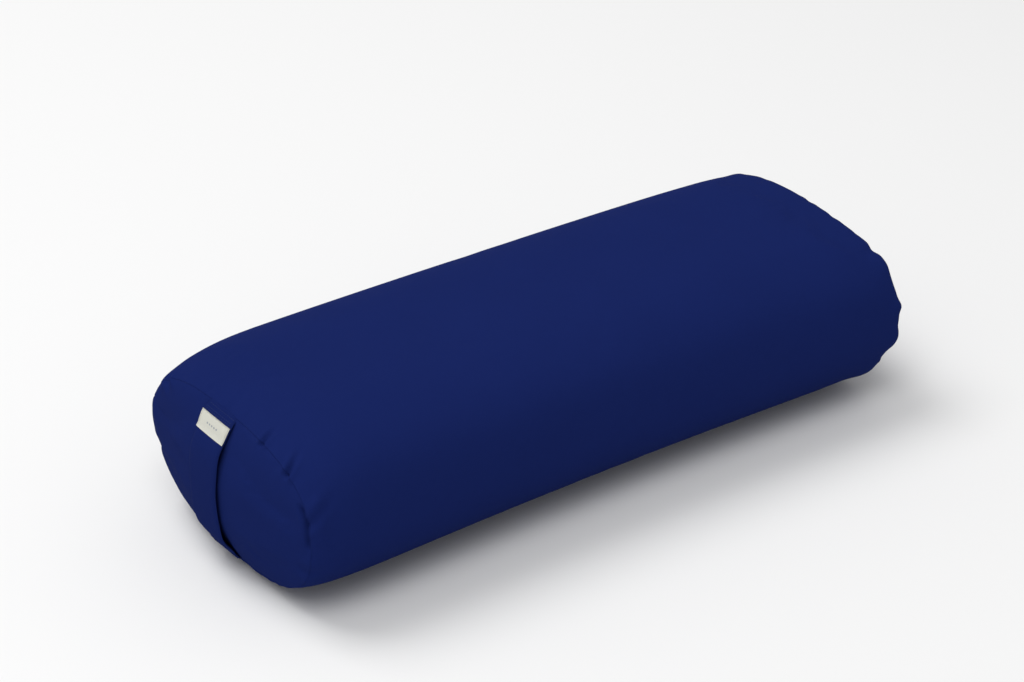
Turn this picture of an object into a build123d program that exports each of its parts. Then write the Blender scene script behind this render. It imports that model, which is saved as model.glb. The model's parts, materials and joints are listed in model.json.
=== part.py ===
"""Bolster pillow: a sewn cotton cover with a handle and a back zip, over a liner bag and its filling.

Millimetres, +Z up.  The bolster lies on its broad flat side along X, with the handle end at -X and
the zip on the +Y side.  The origin is on the floor, under the centre of the whole object.
"""

import os
from math import acos, atan2, cos, degrees, radians, sin, tan

from build123d import *

# Whole pillow
seam_length = 650.0  # between the two end seams
pillow_width = 280.0
pillow_height = 170.0
end_crown = 19.0  # how far each end panel bulges past its seam
straight_half = 240.0  # the middle stretch with one constant section reaches this far each way
end_half_width = 133.0
end_bottom = 8.0  # the end seams are drawn in, clear of the floor
end_top = 159.3
end_taper_power = 2.2  # how late the section draws in on its way to the end seam
taper_shares = (0, 0.25, 0.5, 0.75, 1)
crown_power = 2.4  # how flat the middle of an end panel is
crown_shares = (1, 0.96, 0.88, 0.76, 0.6, 0.4, 0.2)
side_height_share = 0.53  # height of the widest point, as a share of the section's height
top_corner_share = 0.44  # radius of the upper corners, as a share of the section's height

# Cloth
cover_cloth = 1.2
seam_allowance = 10.0
allowance_lap = 0.4  # the turned-in allowance runs this far into the end panel's edge
seam_thread = 0.5
seam_thread_distance = 2.0  # from the seam's fold to its row of stitches
liner_inset = 5.0  # room between cover and liner for the zip and the seam allowances
liner_cloth = 0.8
liner_end_setback = 10.0
filling_clearance = 0.2
liner_stitch_length = 300.0

# Handle strap, over the middle of the -X end panel
strap_width = 44.0
strap_y = -4.0  # the strap sits a little to the -Y side of the middle
strap_thick = 3.0
strap_stand_off = 5.0
strap_tab = 9.0  # length sewn inside the seam
strap_shoulder_drop = 32.0
strap_shoulder_radius = 90.0
strap_root_radius = 4.0
strap_root_out = 2.0  # each root turns this far outside the seam
strap_root_gap = 0.6  # between the upper root and the cover above it

# Woven label round the upper shoulder of the strap
label_width = 43.4
label_thick = 0.6
label_start_angle = 22.8  # above the level of the shoulder's centre, seen from the side
label_sweep = 11.4
label_margin = 0.9  # from the label's edge to its stitches, as an angle at the shoulder's centre
label_stitch_count = 12

# Stitches, and the tacks that hold the strap's tabs in the seam
stitch_long = 2.6
stitch_wide = 0.5
stitch_high = 0.4
tack_rows = 3
tack_row_gap = 1.5
tack_count = 12
tack_pitch = 3.6

# Zip, on a narrow flat facing of the +Y side
zip_angle = 20.0  # its outward direction, above the horizontal
zip_facet_half = 16.0
slit_length = 468.0
slit_width = 11.0
tape_length = 478.0
tape_width = 13.0
tape_thick = 0.6
chain_gap = 1.8  # between the two coils, where the slider's neck runs
coil_width = 2.3
coil_height = 1.8
coil_half_length = 227.0
coil_edge_radius = 0.5
stop_length = 5.0
stop_rise = 0.4  # the stops stand this much above the coils
stop_corner = 1.0
slider_length = 12.0
slider_width = 9.4
slider_corner = 2.5
slider_wall = 1.2
slider_clearance = 0.3
slider_rest_gap = 1.0  # from the slider to the top stops
flange_setback = 2.5  # each side flange stops this far from the slider's ends
neck_width = 1.0
neck_length = 3.5
neck_setback = 0.8
bridge_width = 2.6
bridge_thick = 1.1
bridge_leg = 1.2
bridge_room = 1.1  # between the pull's pin and each leg of the bridge
pull_length = 34.0
pull_width = 7.0
pull_thick = 1.2
pull_corner = 1.5
pull_pin_radius = 0.7
pull_hole_radius = 1.4
pull_hole_setback = 3.5
eye_clearance = 1.0  # the pull's eye is wider than the bridge by this much
eye_room = 0.6  # between the eye and the bridge as the pull swings
zip_stitch_offset = 8.0

# Worked-out values
centre_x = (strap_stand_off + strap_thick) / 2  # keeps the origin under the whole object's centre
seam_x = seam_length / 2
panel_tip = seam_x + end_crown
half_width = pillow_width / 2


def slice_plane(x):
    """Plane across the bolster, x from its middle: local x is +Y and local y is +Z."""
    return Plane(origin=(centre_x + x, 0, 0), x_dir=(0, 1, 0), z_dir=(1, 0, 0))


def outline(plane, half, bottom, top, inset):
    """One cross-section in tangent arcs, drawn inset inside the outer face of the cloth."""
    height = top - bottom
    low_radius = side_height_share * height
    up_radius = top_corner_share * height
    side_z = bottom + low_radius
    low_y = half - low_radius
    up_y = half - up_radius
    rise = top - side_z
    crown_radius = (up_y**2 + rise**2 - up_radius**2) / (2 * (rise - up_radius))
    crown_z = top - crown_radius
    crown_start = degrees(atan2(side_z - crown_z, up_y))
    facet_share = zip_facet_half / (top_corner_share * pillow_height)
    facet_depth = up_radius * (1 - facet_share**2) ** 0.5
    facet_turn = degrees(acos((facet_depth - inset) / (up_radius - inset)))
    facet_low = zip_angle - facet_turn
    facet_high = zip_angle + facet_turn
    with BuildSketch(plane) as sketch:
        with BuildLine():
            Line((-low_y, bottom + inset), (low_y, bottom + inset))
            CenterArc((low_y, side_z), low_radius - inset, -90, 90)
            side = CenterArc((up_y, side_z), up_radius - inset, 0, facet_low)
            shoulder = CenterArc((up_y, side_z), up_radius - inset, facet_high, crown_start - facet_high)
            Line(side @ 1, shoulder @ 0)
            CenterArc((0, crown_z), crown_radius - inset, crown_start, 180 - 2 * crown_start)
            CenterArc((-up_y, side_z), up_radius - inset, 180 - crown_start, crown_start)
            CenterArc((-low_y, side_z), low_radius - inset, 180, 90)
        make_face()
    return sketch.sketch


def taper_section(share, inset, seam_at=seam_x):
    """Section of the drawn-in end: share 0 is the full section and share 1 the end seam."""
    pull_in = share**end_taper_power
    half = half_width - pull_in * (half_width - end_half_width)
    top = pillow_height - pull_in * (pillow_height - end_top)
    x = straight_half + share * (seam_at - straight_half)
    return outline(slice_plane(x), half, pull_in * end_bottom, top, inset)


def stuffed_tube(inset, seam_at=seam_x):
    """Closed body between the two end seams, inside the cloth by inset."""
    full_section = outline(slice_plane(0), half_width, 0, pillow_height, inset)
    taper = [taper_section(share, inset, seam_at) for share in taper_shares]
    with BuildPart() as tube:
        extrude(full_section, amount=straight_half, both=True)
        end = loft(sections=taper)
        mirror(end, about=Plane.YZ.offset(centre_x))
    return tube.part


def crowned_end(inset, seam_at=seam_x, crown=end_crown):
    """Closed dome between the +X end seam and the end panel's outer face, inside it by inset."""
    middle = (end_bottom + end_top) / 2
    rise = (end_top - end_bottom) / 2
    sections = []
    for share in crown_shares:
        plane = slice_plane(seam_at + crown * (1 - share**crown_power))
        low = middle - rise * share
        high = middle + rise * share
        sections.append(outline(plane, end_half_width * share, low, high, inset * share))
    with BuildPart() as dome:
        loft(sections=sections)
    return dome.part


def seam_ring(outer_inset, inner_inset, far_x, near_x):
    """Band along the inside of the +X end seam, between two insets, from near_x out to far_x."""
    plane = slice_plane(far_x)
    outer = outline(plane, end_half_width, end_bottom, end_top, outer_inset)
    inner = outline(plane, end_half_width, end_bottom, end_top, inner_inset)
    with BuildPart() as band:
        extrude(outer, amount=near_x - far_x)
        extrude(inner, amount=near_x - far_x, mode=Mode.SUBTRACT)
    return band.part


def mirrored(shape):
    """The same shape at the other end of the bolster."""
    return shape.mirror(Plane.YZ.offset(centre_x))


def finish(piece, name):
    """Label a finished piece and write its STEP file."""
    piece.part.label = name
    export_step(piece.part, f"parts/{name}.step")
    print(f"{name:28s} {piece.part.volume / 1000:10.3f} cm3")


os.makedirs("parts", exist_ok=True)

# Handle strap: its centre line in the XZ plane, from one inside tab to the other.
side_view = Plane(origin=(centre_x, strap_y, 0), x_dir=(1, 0, 0), z_dir=(0, -1, 0))
strap_x = -(panel_tip + strap_stand_off + strap_thick / 2)
tab_x = -(seam_x - strap_tab)
root_x = -(seam_x + strap_root_out)
root_top = end_top - cover_cloth - strap_root_gap - strap_thick / 2
root_bottom = end_bottom + cover_cloth + strap_thick / 2
shoulder_top = root_top - strap_shoulder_drop
shoulder_bottom = root_bottom + strap_shoulder_drop
strap_route = (
    (tab_x, root_top),
    (root_x, root_top),
    (strap_x, shoulder_top),
    (strap_x, shoulder_bottom),
    (root_x, root_bottom),
    (tab_x, root_bottom),
)
strap_radii = (strap_root_radius, strap_shoulder_radius, strap_shoulder_radius, strap_root_radius)

with BuildPart() as handle_strap:
    with BuildSketch(side_view):
        with BuildLine():
            FilletPolyline(*strap_route, radius=strap_radii)
        trace(line_width=strap_thick)
    extrude(amount=strap_width / 2, both=True)
finish(handle_strap, "handle_strap")

# Cover: the wrap panel with its zip slit, and the two end panels with their turned-in allowances.
corner_radius = top_corner_share * pillow_height
facet_distance = (corner_radius**2 - zip_facet_half**2) ** 0.5
corner_z = side_height_share * pillow_height
zip_y = half_width - corner_radius + facet_distance * cos(radians(zip_angle))
zip_z = corner_z + facet_distance * sin(radians(zip_angle))
zip_out = (0, cos(radians(zip_angle)), sin(radians(zip_angle)))
zip_plane = Plane(origin=(centre_x, zip_y, zip_z), x_dir=(1, 0, 0), z_dir=zip_out)

cover_outside = stuffed_tube(0)
cover_inside = stuffed_tube(cover_cloth)
with BuildPart() as cover_body:
    add(cover_outside)
    add(cover_inside, mode=Mode.SUBTRACT)
    with BuildSketch(zip_plane):
        Rectangle(slit_length, slit_width)
    extrude(amount=2 * cover_cloth, both=True, mode=Mode.SUBTRACT)
finish(cover_body, "cover_body")

dome_outside = crowned_end(0)
dome_inside = crowned_end(cover_cloth, crown=end_crown - cover_cloth)
allowance_edge = seam_x - seam_allowance
allowance = seam_ring(cover_cloth, 2 * cover_cloth, seam_x + allowance_lap, allowance_edge)
with BuildPart() as plain_end_panel:
    add(dome_outside)
    add(dome_inside, mode=Mode.SUBTRACT)
    add(allowance)
finish(plain_end_panel, "plain_end_panel")

with BuildPart() as handle_end_panel:
    add(mirrored(plain_end_panel.part))
    add(handle_strap.part, mode=Mode.SUBTRACT)
finish(handle_end_panel, "handle_end_panel")

thread_inset = 2 * cover_cloth
thread_x = seam_x - seam_thread_distance
thread_band = seam_ring(thread_inset, thread_inset + seam_thread, thread_x, thread_x - 2 * seam_thread)
with BuildPart() as plain_end_seam_thread:
    add(thread_band)
finish(plain_end_seam_thread, "plain_end_seam_thread")

with BuildPart() as handle_end_seam_thread:
    add(mirrored(plain_end_seam_thread.part))
    add(handle_strap.part, mode=Mode.SUBTRACT)
finish(handle_end_seam_thread, "handle_end_seam_thread")

# Rows of stitches that hold the strap's tabs in the seam.
tack_middle = tab_x - strap_tab / 2
for name, z, outward in (
    ("handle_top_tack_stitches", root_top - strap_thick / 2, -1),
    ("handle_bottom_tack_stitches", root_bottom + strap_thick / 2, 1),
):
    with BuildPart() as tack:
        with BuildSketch(Plane.XY.offset(z)):
            with Locations((centre_x + tack_middle, strap_y)):
                with GridLocations(tack_row_gap, tack_pitch, tack_rows, tack_count):
                    Rectangle(stitch_wide, stitch_long)
        extrude(amount=outward * stitch_high)
    finish(tack, name)

# Woven label round the strap's upper shoulder, with a row of stitches along its top and bottom.
shoulder_turn = atan2(root_x - strap_x, root_top - shoulder_top)
shoulder_z = shoulder_top - strap_shoulder_radius * tan(shoulder_turn / 2)
shoulder_centre = (strap_x + strap_shoulder_radius, shoulder_z)
label_radius = strap_shoulder_radius + (strap_thick + label_thick) / 2
with BuildPart() as woven_label:
    with BuildSketch(side_view):
        with BuildLine():
            CenterArc(shoulder_centre, label_radius, 180 - label_start_angle, -label_sweep)
        trace(line_width=label_thick)
    extrude(amount=label_width / 2, both=True)
finish(woven_label, "woven_label")

face_radius = strap_shoulder_radius + strap_thick / 2 + label_thick
with BuildPart() as label_stitches:
    for angle in (label_start_angle + label_margin, label_start_angle + label_sweep - label_margin):
        out_x = -cos(radians(angle))
        out_z = sin(radians(angle))
        origin = (
            centre_x + shoulder_centre[0] + face_radius * out_x,
            strap_y,
            shoulder_centre[1] + face_radius * out_z,
        )
        with BuildSketch(Plane(origin=origin, x_dir=(0, 1, 0), z_dir=(out_x, 0, out_z))):
            with GridLocations(label_width / label_stitch_count, 1, label_stitch_count, 1):
                Rectangle(stitch_long, stitch_wide)
        extrude(amount=stitch_high)
finish(label_stitches, "label_stitches")

# Zip: tapes behind the slit's edges, the two coils, stops, and the rows of stitches.
tape_top = -cover_cloth
coil_middle = (chain_gap + coil_width) / 2
for name, side in (("upper", -1), ("lower", 1)):
    with BuildPart() as tape:
        with BuildSketch(zip_plane.offset(tape_top)):
            with Locations((0, side * (chain_gap + tape_width) / 2)):
                Rectangle(tape_length, tape_width)
        extrude(amount=-tape_thick)
    finish(tape, f"zip_tape_{name}")

    with BuildPart() as coil:
        with BuildSketch(zip_plane.offset(tape_top)):
            with Locations((0, side * coil_middle)):
                Rectangle(2 * coil_half_length, coil_width)
        extrude(amount=coil_height)
        outer_face = coil.faces().sort_by(Axis(zip_plane.origin, zip_plane.z_dir))[-1]
        fillet(outer_face.edges(), coil_edge_radius)
    finish(coil, f"zip_coil_{name}")

    with BuildPart() as stitching:
        with BuildSketch(zip_plane):
            with Locations((0, side * zip_stitch_offset)):
                Rectangle(slit_length, stitch_wide)
        extrude(amount=stitch_high)
    finish(stitching, f"zip_stitching_{name}")

stop_x = coil_half_length + stop_length / 2
stop_height = coil_height + stop_rise
with BuildPart() as zip_top_stops:
    with BuildSketch(zip_plane.offset(tape_top)):
        with Locations((-stop_x, -coil_middle), (-stop_x, coil_middle)):
            Rectangle(stop_length, coil_width)
    extrude(amount=stop_height)
finish(zip_top_stops, "zip_top_stops")

with BuildPart() as zip_bottom_stop:
    with BuildSketch(zip_plane.offset(tape_top)):
        with Locations((stop_x, 0)):
            Rectangle(stop_length, chain_gap + 2 * coil_width)
    extrude(amount=stop_height)
    upright_edges = zip_bottom_stop.edges().filter_by(Axis(zip_plane.origin, zip_plane.z_dir))
    fillet(upright_edges, stop_corner)
finish(zip_bottom_stop, "zip_bottom_stop")

# Slider: two plates joined by the neck, side flanges, and the bridge that the pull hangs on.
slider_x = -(coil_half_length - slider_length / 2 - slider_rest_gap)
under_top = tape_top - tape_thick - slider_clearance
over_bottom = tape_top + coil_height + slider_clearance
over_top = over_bottom + slider_wall
flange_bottom = tape_top + slider_clearance
slider_origin = zip_plane.from_local_coords((slider_x, 0, 0))
slider_plane = Plane(origin=slider_origin, x_dir=zip_plane.x_dir, z_dir=zip_plane.z_dir)
pin_height = over_top + pull_pin_radius + slider_clearance
window_top = pin_height + pull_pin_radius + slider_clearance
bridge_top = window_top + bridge_thick
window_half = pull_pin_radius + bridge_room
bridge_half = window_half + bridge_leg
eye_gap = bridge_width + eye_clearance
neck_x = (neck_length - slider_length) / 2 + neck_setback
flange_offset = (slider_width - slider_wall) / 2
with BuildPart() as zip_slider:
    with BuildSketch(slider_plane.offset(under_top)):
        RectangleRounded(slider_length, slider_width, slider_corner)
    extrude(amount=-slider_wall)
    with BuildSketch(slider_plane.offset(over_bottom)):
        RectangleRounded(slider_length, slider_width, slider_corner)
    extrude(amount=slider_wall)
    with BuildSketch(slider_plane.offset(flange_bottom)):
        with Locations((0, -flange_offset), (0, flange_offset)):
            Rectangle(slider_length - 2 * flange_setback, slider_wall)
    extrude(amount=over_bottom - flange_bottom)
    with BuildSketch(slider_plane.offset(under_top)):
        with Locations((neck_x, 0)):
            Rectangle(neck_length, neck_width)
    extrude(amount=over_bottom - under_top)
    with BuildSketch(slider_plane.offset(over_top)):
        Rectangle(2 * bridge_half, bridge_width)
    extrude(amount=bridge_top - over_top)
    with BuildSketch(slider_plane.offset(over_top)):
        Rectangle(2 * window_half, eye_gap)
    extrude(amount=window_top - over_top, mode=Mode.SUBTRACT)
finish(zip_slider, "zip_slider")

# Pull: a pin under the bridge, an eye round it and a flat tab, lying along +X over the chain.
pull_plane = slider_plane.offset(pin_height)
eye_end = (bridge_half**2 + (bridge_top - pin_height) ** 2) ** 0.5 + eye_room
eye_start = -2 * pull_pin_radius
with BuildPart() as zip_pull:
    with BuildSketch(pull_plane.offset(-pull_thick / 2)):
        with Locations((pull_length / 2, 0)):
            RectangleRounded(pull_length, pull_width, pull_corner)
        with Locations(((eye_end + eye_start) / 2, 0)):
            Rectangle(eye_end - eye_start, eye_gap, mode=Mode.SUBTRACT)
        with Locations((pull_length - pull_hole_setback, 0)):
            Circle(pull_hole_radius, mode=Mode.SUBTRACT)
    extrude(amount=pull_thick)
    with BuildSketch(Plane(origin=pull_plane.origin, x_dir=(1, 0, 0), z_dir=-pull_plane.y_dir)):
        Circle(pull_pin_radius)
    extrude(amount=pull_width / 2, both=True)
finish(zip_pull, "zip_pull")

# Liner bag: tube and two ends, closed by a row of stitches, and the filling inside it.
liner_seam = seam_x - liner_end_setback
liner_crown = end_crown + liner_end_setback - liner_inset
liner_inside = liner_inset + liner_cloth
liner_outer_tube = stuffed_tube(liner_inset, liner_seam)
liner_inner_tube = stuffed_tube(liner_inside, liner_seam)
with BuildPart() as liner_body:
    add(liner_outer_tube)
    add(liner_inner_tube, mode=Mode.SUBTRACT)
finish(liner_body, "liner_body")

liner_dome = crowned_end(liner_inset, liner_seam, liner_crown)
liner_dome_inside = crowned_end(liner_inside, liner_seam, liner_crown - liner_cloth)
with BuildPart() as liner_plain_end:
    add(liner_dome)
    add(liner_dome_inside, mode=Mode.SUBTRACT)
finish(liner_plain_end, "liner_plain_end")

with BuildPart() as liner_handle_end:
    add(mirrored(liner_plain_end.part))
finish(liner_handle_end, "liner_handle_end")

with BuildPart() as liner_closing_stitches:
    with BuildSketch(Plane.XY.offset(liner_inset)):
        with Locations((centre_x, 0)):
            Rectangle(liner_stitch_length, stitch_wide)
    extrude(amount=-stitch_high)
finish(liner_closing_stitches, "liner_closing_stitches")

filling_inset = liner_inside + filling_clearance
filling_tube = stuffed_tube(filling_inset, liner_seam)
filling_dome = crowned_end(filling_inset, liner_seam, liner_crown - liner_cloth - filling_clearance)
with BuildPart() as filling:
    add(filling_tube)
    add(filling_dome)
    add(mirrored(filling_dome))
finish(filling, "filling")
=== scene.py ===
"""Looks for the bolster pillow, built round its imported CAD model.  Metres, +Z up, handle end at -X."""

import json
import math

import bpy
import numpy as np
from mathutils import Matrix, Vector
from mathutils.bvhtree import BVHTree


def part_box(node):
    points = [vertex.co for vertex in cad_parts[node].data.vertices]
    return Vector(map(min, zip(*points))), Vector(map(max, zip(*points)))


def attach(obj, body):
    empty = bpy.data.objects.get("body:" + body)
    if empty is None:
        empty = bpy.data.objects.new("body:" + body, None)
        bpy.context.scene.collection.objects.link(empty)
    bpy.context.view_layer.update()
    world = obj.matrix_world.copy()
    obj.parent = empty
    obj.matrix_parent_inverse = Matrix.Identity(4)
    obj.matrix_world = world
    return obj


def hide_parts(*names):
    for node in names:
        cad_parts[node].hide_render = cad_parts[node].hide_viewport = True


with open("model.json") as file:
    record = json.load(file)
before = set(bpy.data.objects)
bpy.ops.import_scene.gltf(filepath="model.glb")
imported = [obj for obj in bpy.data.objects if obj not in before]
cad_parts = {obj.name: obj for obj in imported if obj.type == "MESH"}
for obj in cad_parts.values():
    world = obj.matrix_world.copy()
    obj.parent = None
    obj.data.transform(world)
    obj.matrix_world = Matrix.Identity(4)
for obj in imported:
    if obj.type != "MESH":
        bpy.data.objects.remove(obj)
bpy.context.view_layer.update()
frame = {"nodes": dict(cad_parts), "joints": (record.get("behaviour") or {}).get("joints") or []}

# Sizes read from the CAD frame
cover_low, cover_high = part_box("cover_body")
LENGTH = cover_high[0] - cover_low[0]
WIDTH = cover_high[1] - cover_low[1]
HEIGHT = cover_high[2] - cover_low[2]
MIDDLE_X = (cover_high[0] + cover_low[0]) / 2
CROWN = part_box("plain_end_panel")[1][0] - cover_high[0]
strap_low, strap_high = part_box("handle_strap")

# Stuffed shape: how each end differs from the middle, as shares of the full section
NEAR = {"width": 0.9215, "height": 0.8485, "power": 12.0, "lift": 0.307, "twist": 0.45}
FAR = {"width": 0.976, "height": 0.929, "power": 7.9, "lift": 0.555, "twist": 1.96}
TOP_POWER = 2.64
BOTTOM_POWER = 2.48
MIDDLE_SHARE = 0.529  # height of the widest point
BEND = -0.0077  # how far the ends curve towards -Y
CROWN_POWER = 2.42
# Fuller or pressed-in places of the end panels: height, place across and up from the middle, and reach each way.
# The near panel is full behind the strap and pressed in under the strap's two ends.
PANEL_SWELL = {-1: ((0.003, 0.0, 0.0, 0.055, 0.055), (-0.0024, 0.006, 0.066, 0.028, 0.013),
                    (-0.0028, 0.006, -0.063, 0.030, 0.013)), 1: ()}
RIM_BAND = 0.06  # the share of a panel beside its seam that those places leave alone
REST_DEPTH = 0.008  # the part of the underside that flattens on the floor
CLOTH = 0.0012

# Mesh of the cover
ROWS = 200
COLUMNS = 360
RINGS = 44
END_GRADING = 0.6  # 0 spaces the rows evenly; towards 1 they crowd at the end seams
RING_GRADING = 1.25
EDGE_COLUMNS = (0.0, 0.0005, 0.0012, 0.002, 0.003, 0.0042, 0.0058, 0.008)  # columns beside the zip, from its edge

# Zip facing on the +Y side, where the wrap panel's two long edges meet
SLIT_HALF = 0.234
SLIT_WIDTH = 0.011
SLIT_MARGIN = 0.004  # how far past each end of the slit its stitching runs
SEAM_GAP = 0.0002  # between the two long edges, past the ends of the zip
SEAM_REACH = 0.04  # how far into the cloth the closing of that seam is spread
SEAM_RUN_OUT = 0.006
FACING_HALF = 0.016
FACING_RADIUS = 0.0748
FACING_REACH = 0.055
FACING_RUN_OUT = 0.05
FACING_CLEAR = 0.03  # beside the facing, the width over which the simulated moves come in

ROLL_DEPTH = 0.0007
ROLL_WIDTH = 0.0013
STITCH_ROW = 0.008
STITCH_PULL = 0.00025
STITCH_PULL_WIDTH = 0.0012

# Cloth simulation: a coarser closed copy of the cover, inflated while its end seams draw in
SIM_STEP = 2
SIM_FRAMES = 20
SIM_PRESSURE = 4
SIM_CAP = 0.008
SIM_SMOOTH = 12
SIM_SHARE = 0.5
SIM_CLEAR = 0.022
SEAM_SHRINK = 0.06

# End seams
GROOVE_DEPTH = {-1: 0.0006, 1: 0.0005}
GROOVE_WIDTH = 0.0032
GATHER_PITCH = 0.028
GATHER_DEPTH = (0.0001, 0.0006)
CORNER_BLEND = 0.006
LIP_ROWS = (0.0012, 0.003)
SEAM_CLEAR = 0.00006
SEAM_THREAD_DEPTH = 0.0012

# Thread
STITCH_PITCH = 0.0042
STITCH_LENGTH = 0.0032
THREAD_RADIUS = 0.00024
THREAD_SIDES = 6
THREAD_TIP = 0.45  # the end of a stitch, as a share of the thread's radius

# Strap and label
STRAP_STATIONS = 90
STRAP_WIDTH = 0.0436
STRAP_THICK = 0.0025
STRAP_ROUND = 0.0016
STRAP_BOW = 0.0009
STRAP_WAVE = 0.0006
STRAP_EDGE_WAVE = 0.0005
STRAP_CLEAR = 0.0004
STRAP_END_SHARE = 0.04
STRAP_MIN_SLOPE = 0.35  # the flattest part of the strap's line that its thickness is measured across
LABEL_TOP = 0.1455
LABEL_BOTTOM = 0.1300
LABEL_WIDTH = 0.0434
LABEL_THICK = 0.0005
LABEL_STITCH_INSET = 0.0016
LOZENGE = 0.0018

# Zip coils, measured from the middle of the zip
COIL_PITCH = 0.0016
COIL_WIRE = 0.00032
COIL_MIDDLE = 0.0014
COIL_REACH = 0.0015
COIL_DEPTH = -0.0003
COIL_RISE = 0.00055

# Inside
LINER_INSET = 0.005
LINER_CLOTH = 0.0008
LINER_END_BACK = 0.010
LINER_CROWN_DROP = 0.004
LINER_ROWS = 90
LINER_COLUMNS = 126
LINER_RINGS = 16
LINER_CAP_GAP = 0.0003
FILLING_CLEAR = 0.0012
FILLING_END_CLEAR = 0.0025
FILLING_LUMPS = 6


def smooth_step(x):
    x = np.clip(x, 0.0, 1.0)
    return x * x * (3 - 2 * x)


def run_along(points):
    """Distance along a line of points, at each of them."""
    return np.concatenate([[0], np.cumsum(np.linalg.norm(np.diff(points, axis=0), axis=1))])


def at_places(places, run, points):
    """Points at some distances along a line."""
    return np.stack([np.interp(places, run, points[:, k]) for k in range(points.shape[1])], 1)


# ---------------------------------------------------------------- the stuffed shape
def end_value(s, name):
    return np.where(s < 0, NEAR[name], FAR[name])


def body_points(s, t, swell=0.0):
    """Points on the stuffed cover: s runs from -1 to 1 along it, t is the angle round its section."""
    s = np.asarray(s, float)
    fade = np.abs(s) ** end_value(s, "power")
    wide = 1 - (1 - end_value(s, "width")) * fade
    high = 1 - (1 - end_value(s, "height")) * fade
    bottom = end_value(s, "lift") * (1 - high) * HEIGHT
    middle = bottom + MIDDLE_SHARE * high * HEIGHT
    up = np.sin(t) >= 0
    power = 2 / np.where(up, TOP_POWER, BOTTOM_POWER)
    y = (wide * WIDTH / 2 + swell) * np.sign(np.cos(t)) * np.abs(np.cos(t)) ** power
    reach = np.where(up, bottom + high * HEIGHT - middle, middle - bottom) + swell
    z = reach * np.sign(np.sin(t)) * np.abs(np.sin(t)) ** power
    turn = np.radians(end_value(s, "twist")) * s * s
    across = y * np.cos(turn) - z * np.sin(turn) + BEND * s * s
    height = y * np.sin(turn) + z * np.cos(turn) + middle
    return np.stack([s * LENGTH / 2 + 0 * t + MIDDLE_X, across, height], -1)


def on_floor(points):
    """Flattens the underside where it rests on the floor."""
    z = points[..., 2]
    low = np.clip(z / REST_DEPTH, 0, 1)
    points[..., 2] = np.where(z < REST_DEPTH, REST_DEPTH * low**1.7, z)
    return points


# The zip's own axes: up the slope, out of the cover, and a point on the cover's outer face
zip_up = np.array(next(j for j in frame["joints"] if j["name"] == "pull_swing")["axis"])
zip_out = np.cross(zip_up, (1.0, 0.0, 0.0))
tapes = [corner for n in ("zip_tape_upper", "zip_tape_lower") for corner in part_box(n)]
TAPE_DEPTH = 0.0015  # from the cover's face to the middle of the tapes
zip_centre = (np.min(tapes, 0) + np.max(tapes, 0)) / 2 + TAPE_DEPTH * zip_out


def lay_on_zip_facing(points):
    """Brings the cloth beside the zip onto the flat facing that the CAD zip sits on, and centres its two edges."""
    local = points - zip_centre
    beside = smooth_step((SLIT_HALF + FACING_RUN_OUT - np.abs(local[..., 0])) / FACING_RUN_OUT)
    drift = (local[:, :1] + local[:, -1:]) @ zip_up / 2 * beside * smooth_step(1 - from_edge / FACING_REACH)
    v = local @ zip_up - drift
    n = local @ zip_out
    round_off = np.sqrt(np.clip(FACING_RADIUS**2 - v**2, 0, None)) - math.sqrt(FACING_RADIUS**2 - FACING_HALF**2)
    target = np.where(np.abs(v) > FACING_HALF, round_off, 0)
    near = beside * smooth_step((FACING_REACH - np.abs(v)) / (FACING_REACH - FACING_HALF)) * (n > -FACING_REACH)
    return points + ((target - n) * near)[..., None] * zip_out - drift[..., None] * zip_up


def section_angles():
    """Angles and arc lengths of the columns, from the zip's upper edge round to its lower edge, closest there."""
    fine = np.linspace(0, 2 * np.pi, 20001)
    outline = body_points(0.0, fine)[:, 1:]
    start = np.argmin(np.linalg.norm(outline - zip_centre[1:], axis=1))
    fine = fine[start] + fine
    run = run_along(body_points(0.0, fine)[:, 1:])
    edge = SLIT_WIDTH / 2 + np.array(EDGE_COLUMNS)
    wanted = np.concatenate([edge, np.linspace(edge[-1], run[-1] - edge[-1], COLUMNS - 2 * len(edge) + 2)[1:-1],
                             run[-1] - edge[::-1]])
    return np.interp(wanted, run, fine), wanted


angles, arc = section_angles()
# Each column's distance from its own long edge of the wrap panel
from_edge = np.minimum(arc, arc[0] + arc[-1] - arc) - SLIT_WIDTH / 2
u = np.linspace(-1, 1, ROWS)
row_share = u + END_GRADING * np.sin(np.pi * u) / np.pi


def ring_shares(rings):
    """Sizes of an end's rings as shares of its seam, from 1 at the seam towards 0 in the middle."""
    return 1 - np.linspace(0, 1, rings + 1)[:-1] ** RING_GRADING


def end_rings(side):
    """Rings of an end panel and the middle of its crown."""
    share = ring_shares(RINGS)
    rim = body_points(np.full_like(angles, side), angles)
    middle = (rim.min(0) + rim.max(0)) / 2
    rings = middle + (rim - middle)[None] * share[:, None, None]
    rings[..., 0] = rim[0, 0] + side * CROWN * (1 - share[:, None] ** CROWN_POWER)
    for height, y, z, reach_y, reach_z in PANEL_SWELL[side]:
        off = rings[..., 1:] - middle[1:] - (y, z)
        spread = np.exp(-(off[..., 0] / reach_y) ** 2 - (off[..., 1] / reach_z) ** 2)
        rings[..., 0] += side * height * spread * smooth_step((1 - share[:, None]) / RIM_BAND)
    return rings, np.array([rings[-1, :, 0].mean(), middle[1], middle[2]])


def stuffed_cover():
    """Points of the whole cover before its cloth is worked: wrap rows, then both ends' rings and poles."""
    wrap = body_points(row_share[:, None] * np.ones((1, COLUMNS)), angles[None] * np.ones((ROWS, 1)))
    near_rings, near_pole = end_rings(-1)
    far_rings, far_pole = end_rings(1)
    return on_floor(wrap), on_floor(near_rings), near_pole, on_floor(far_rings), far_pole


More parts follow.
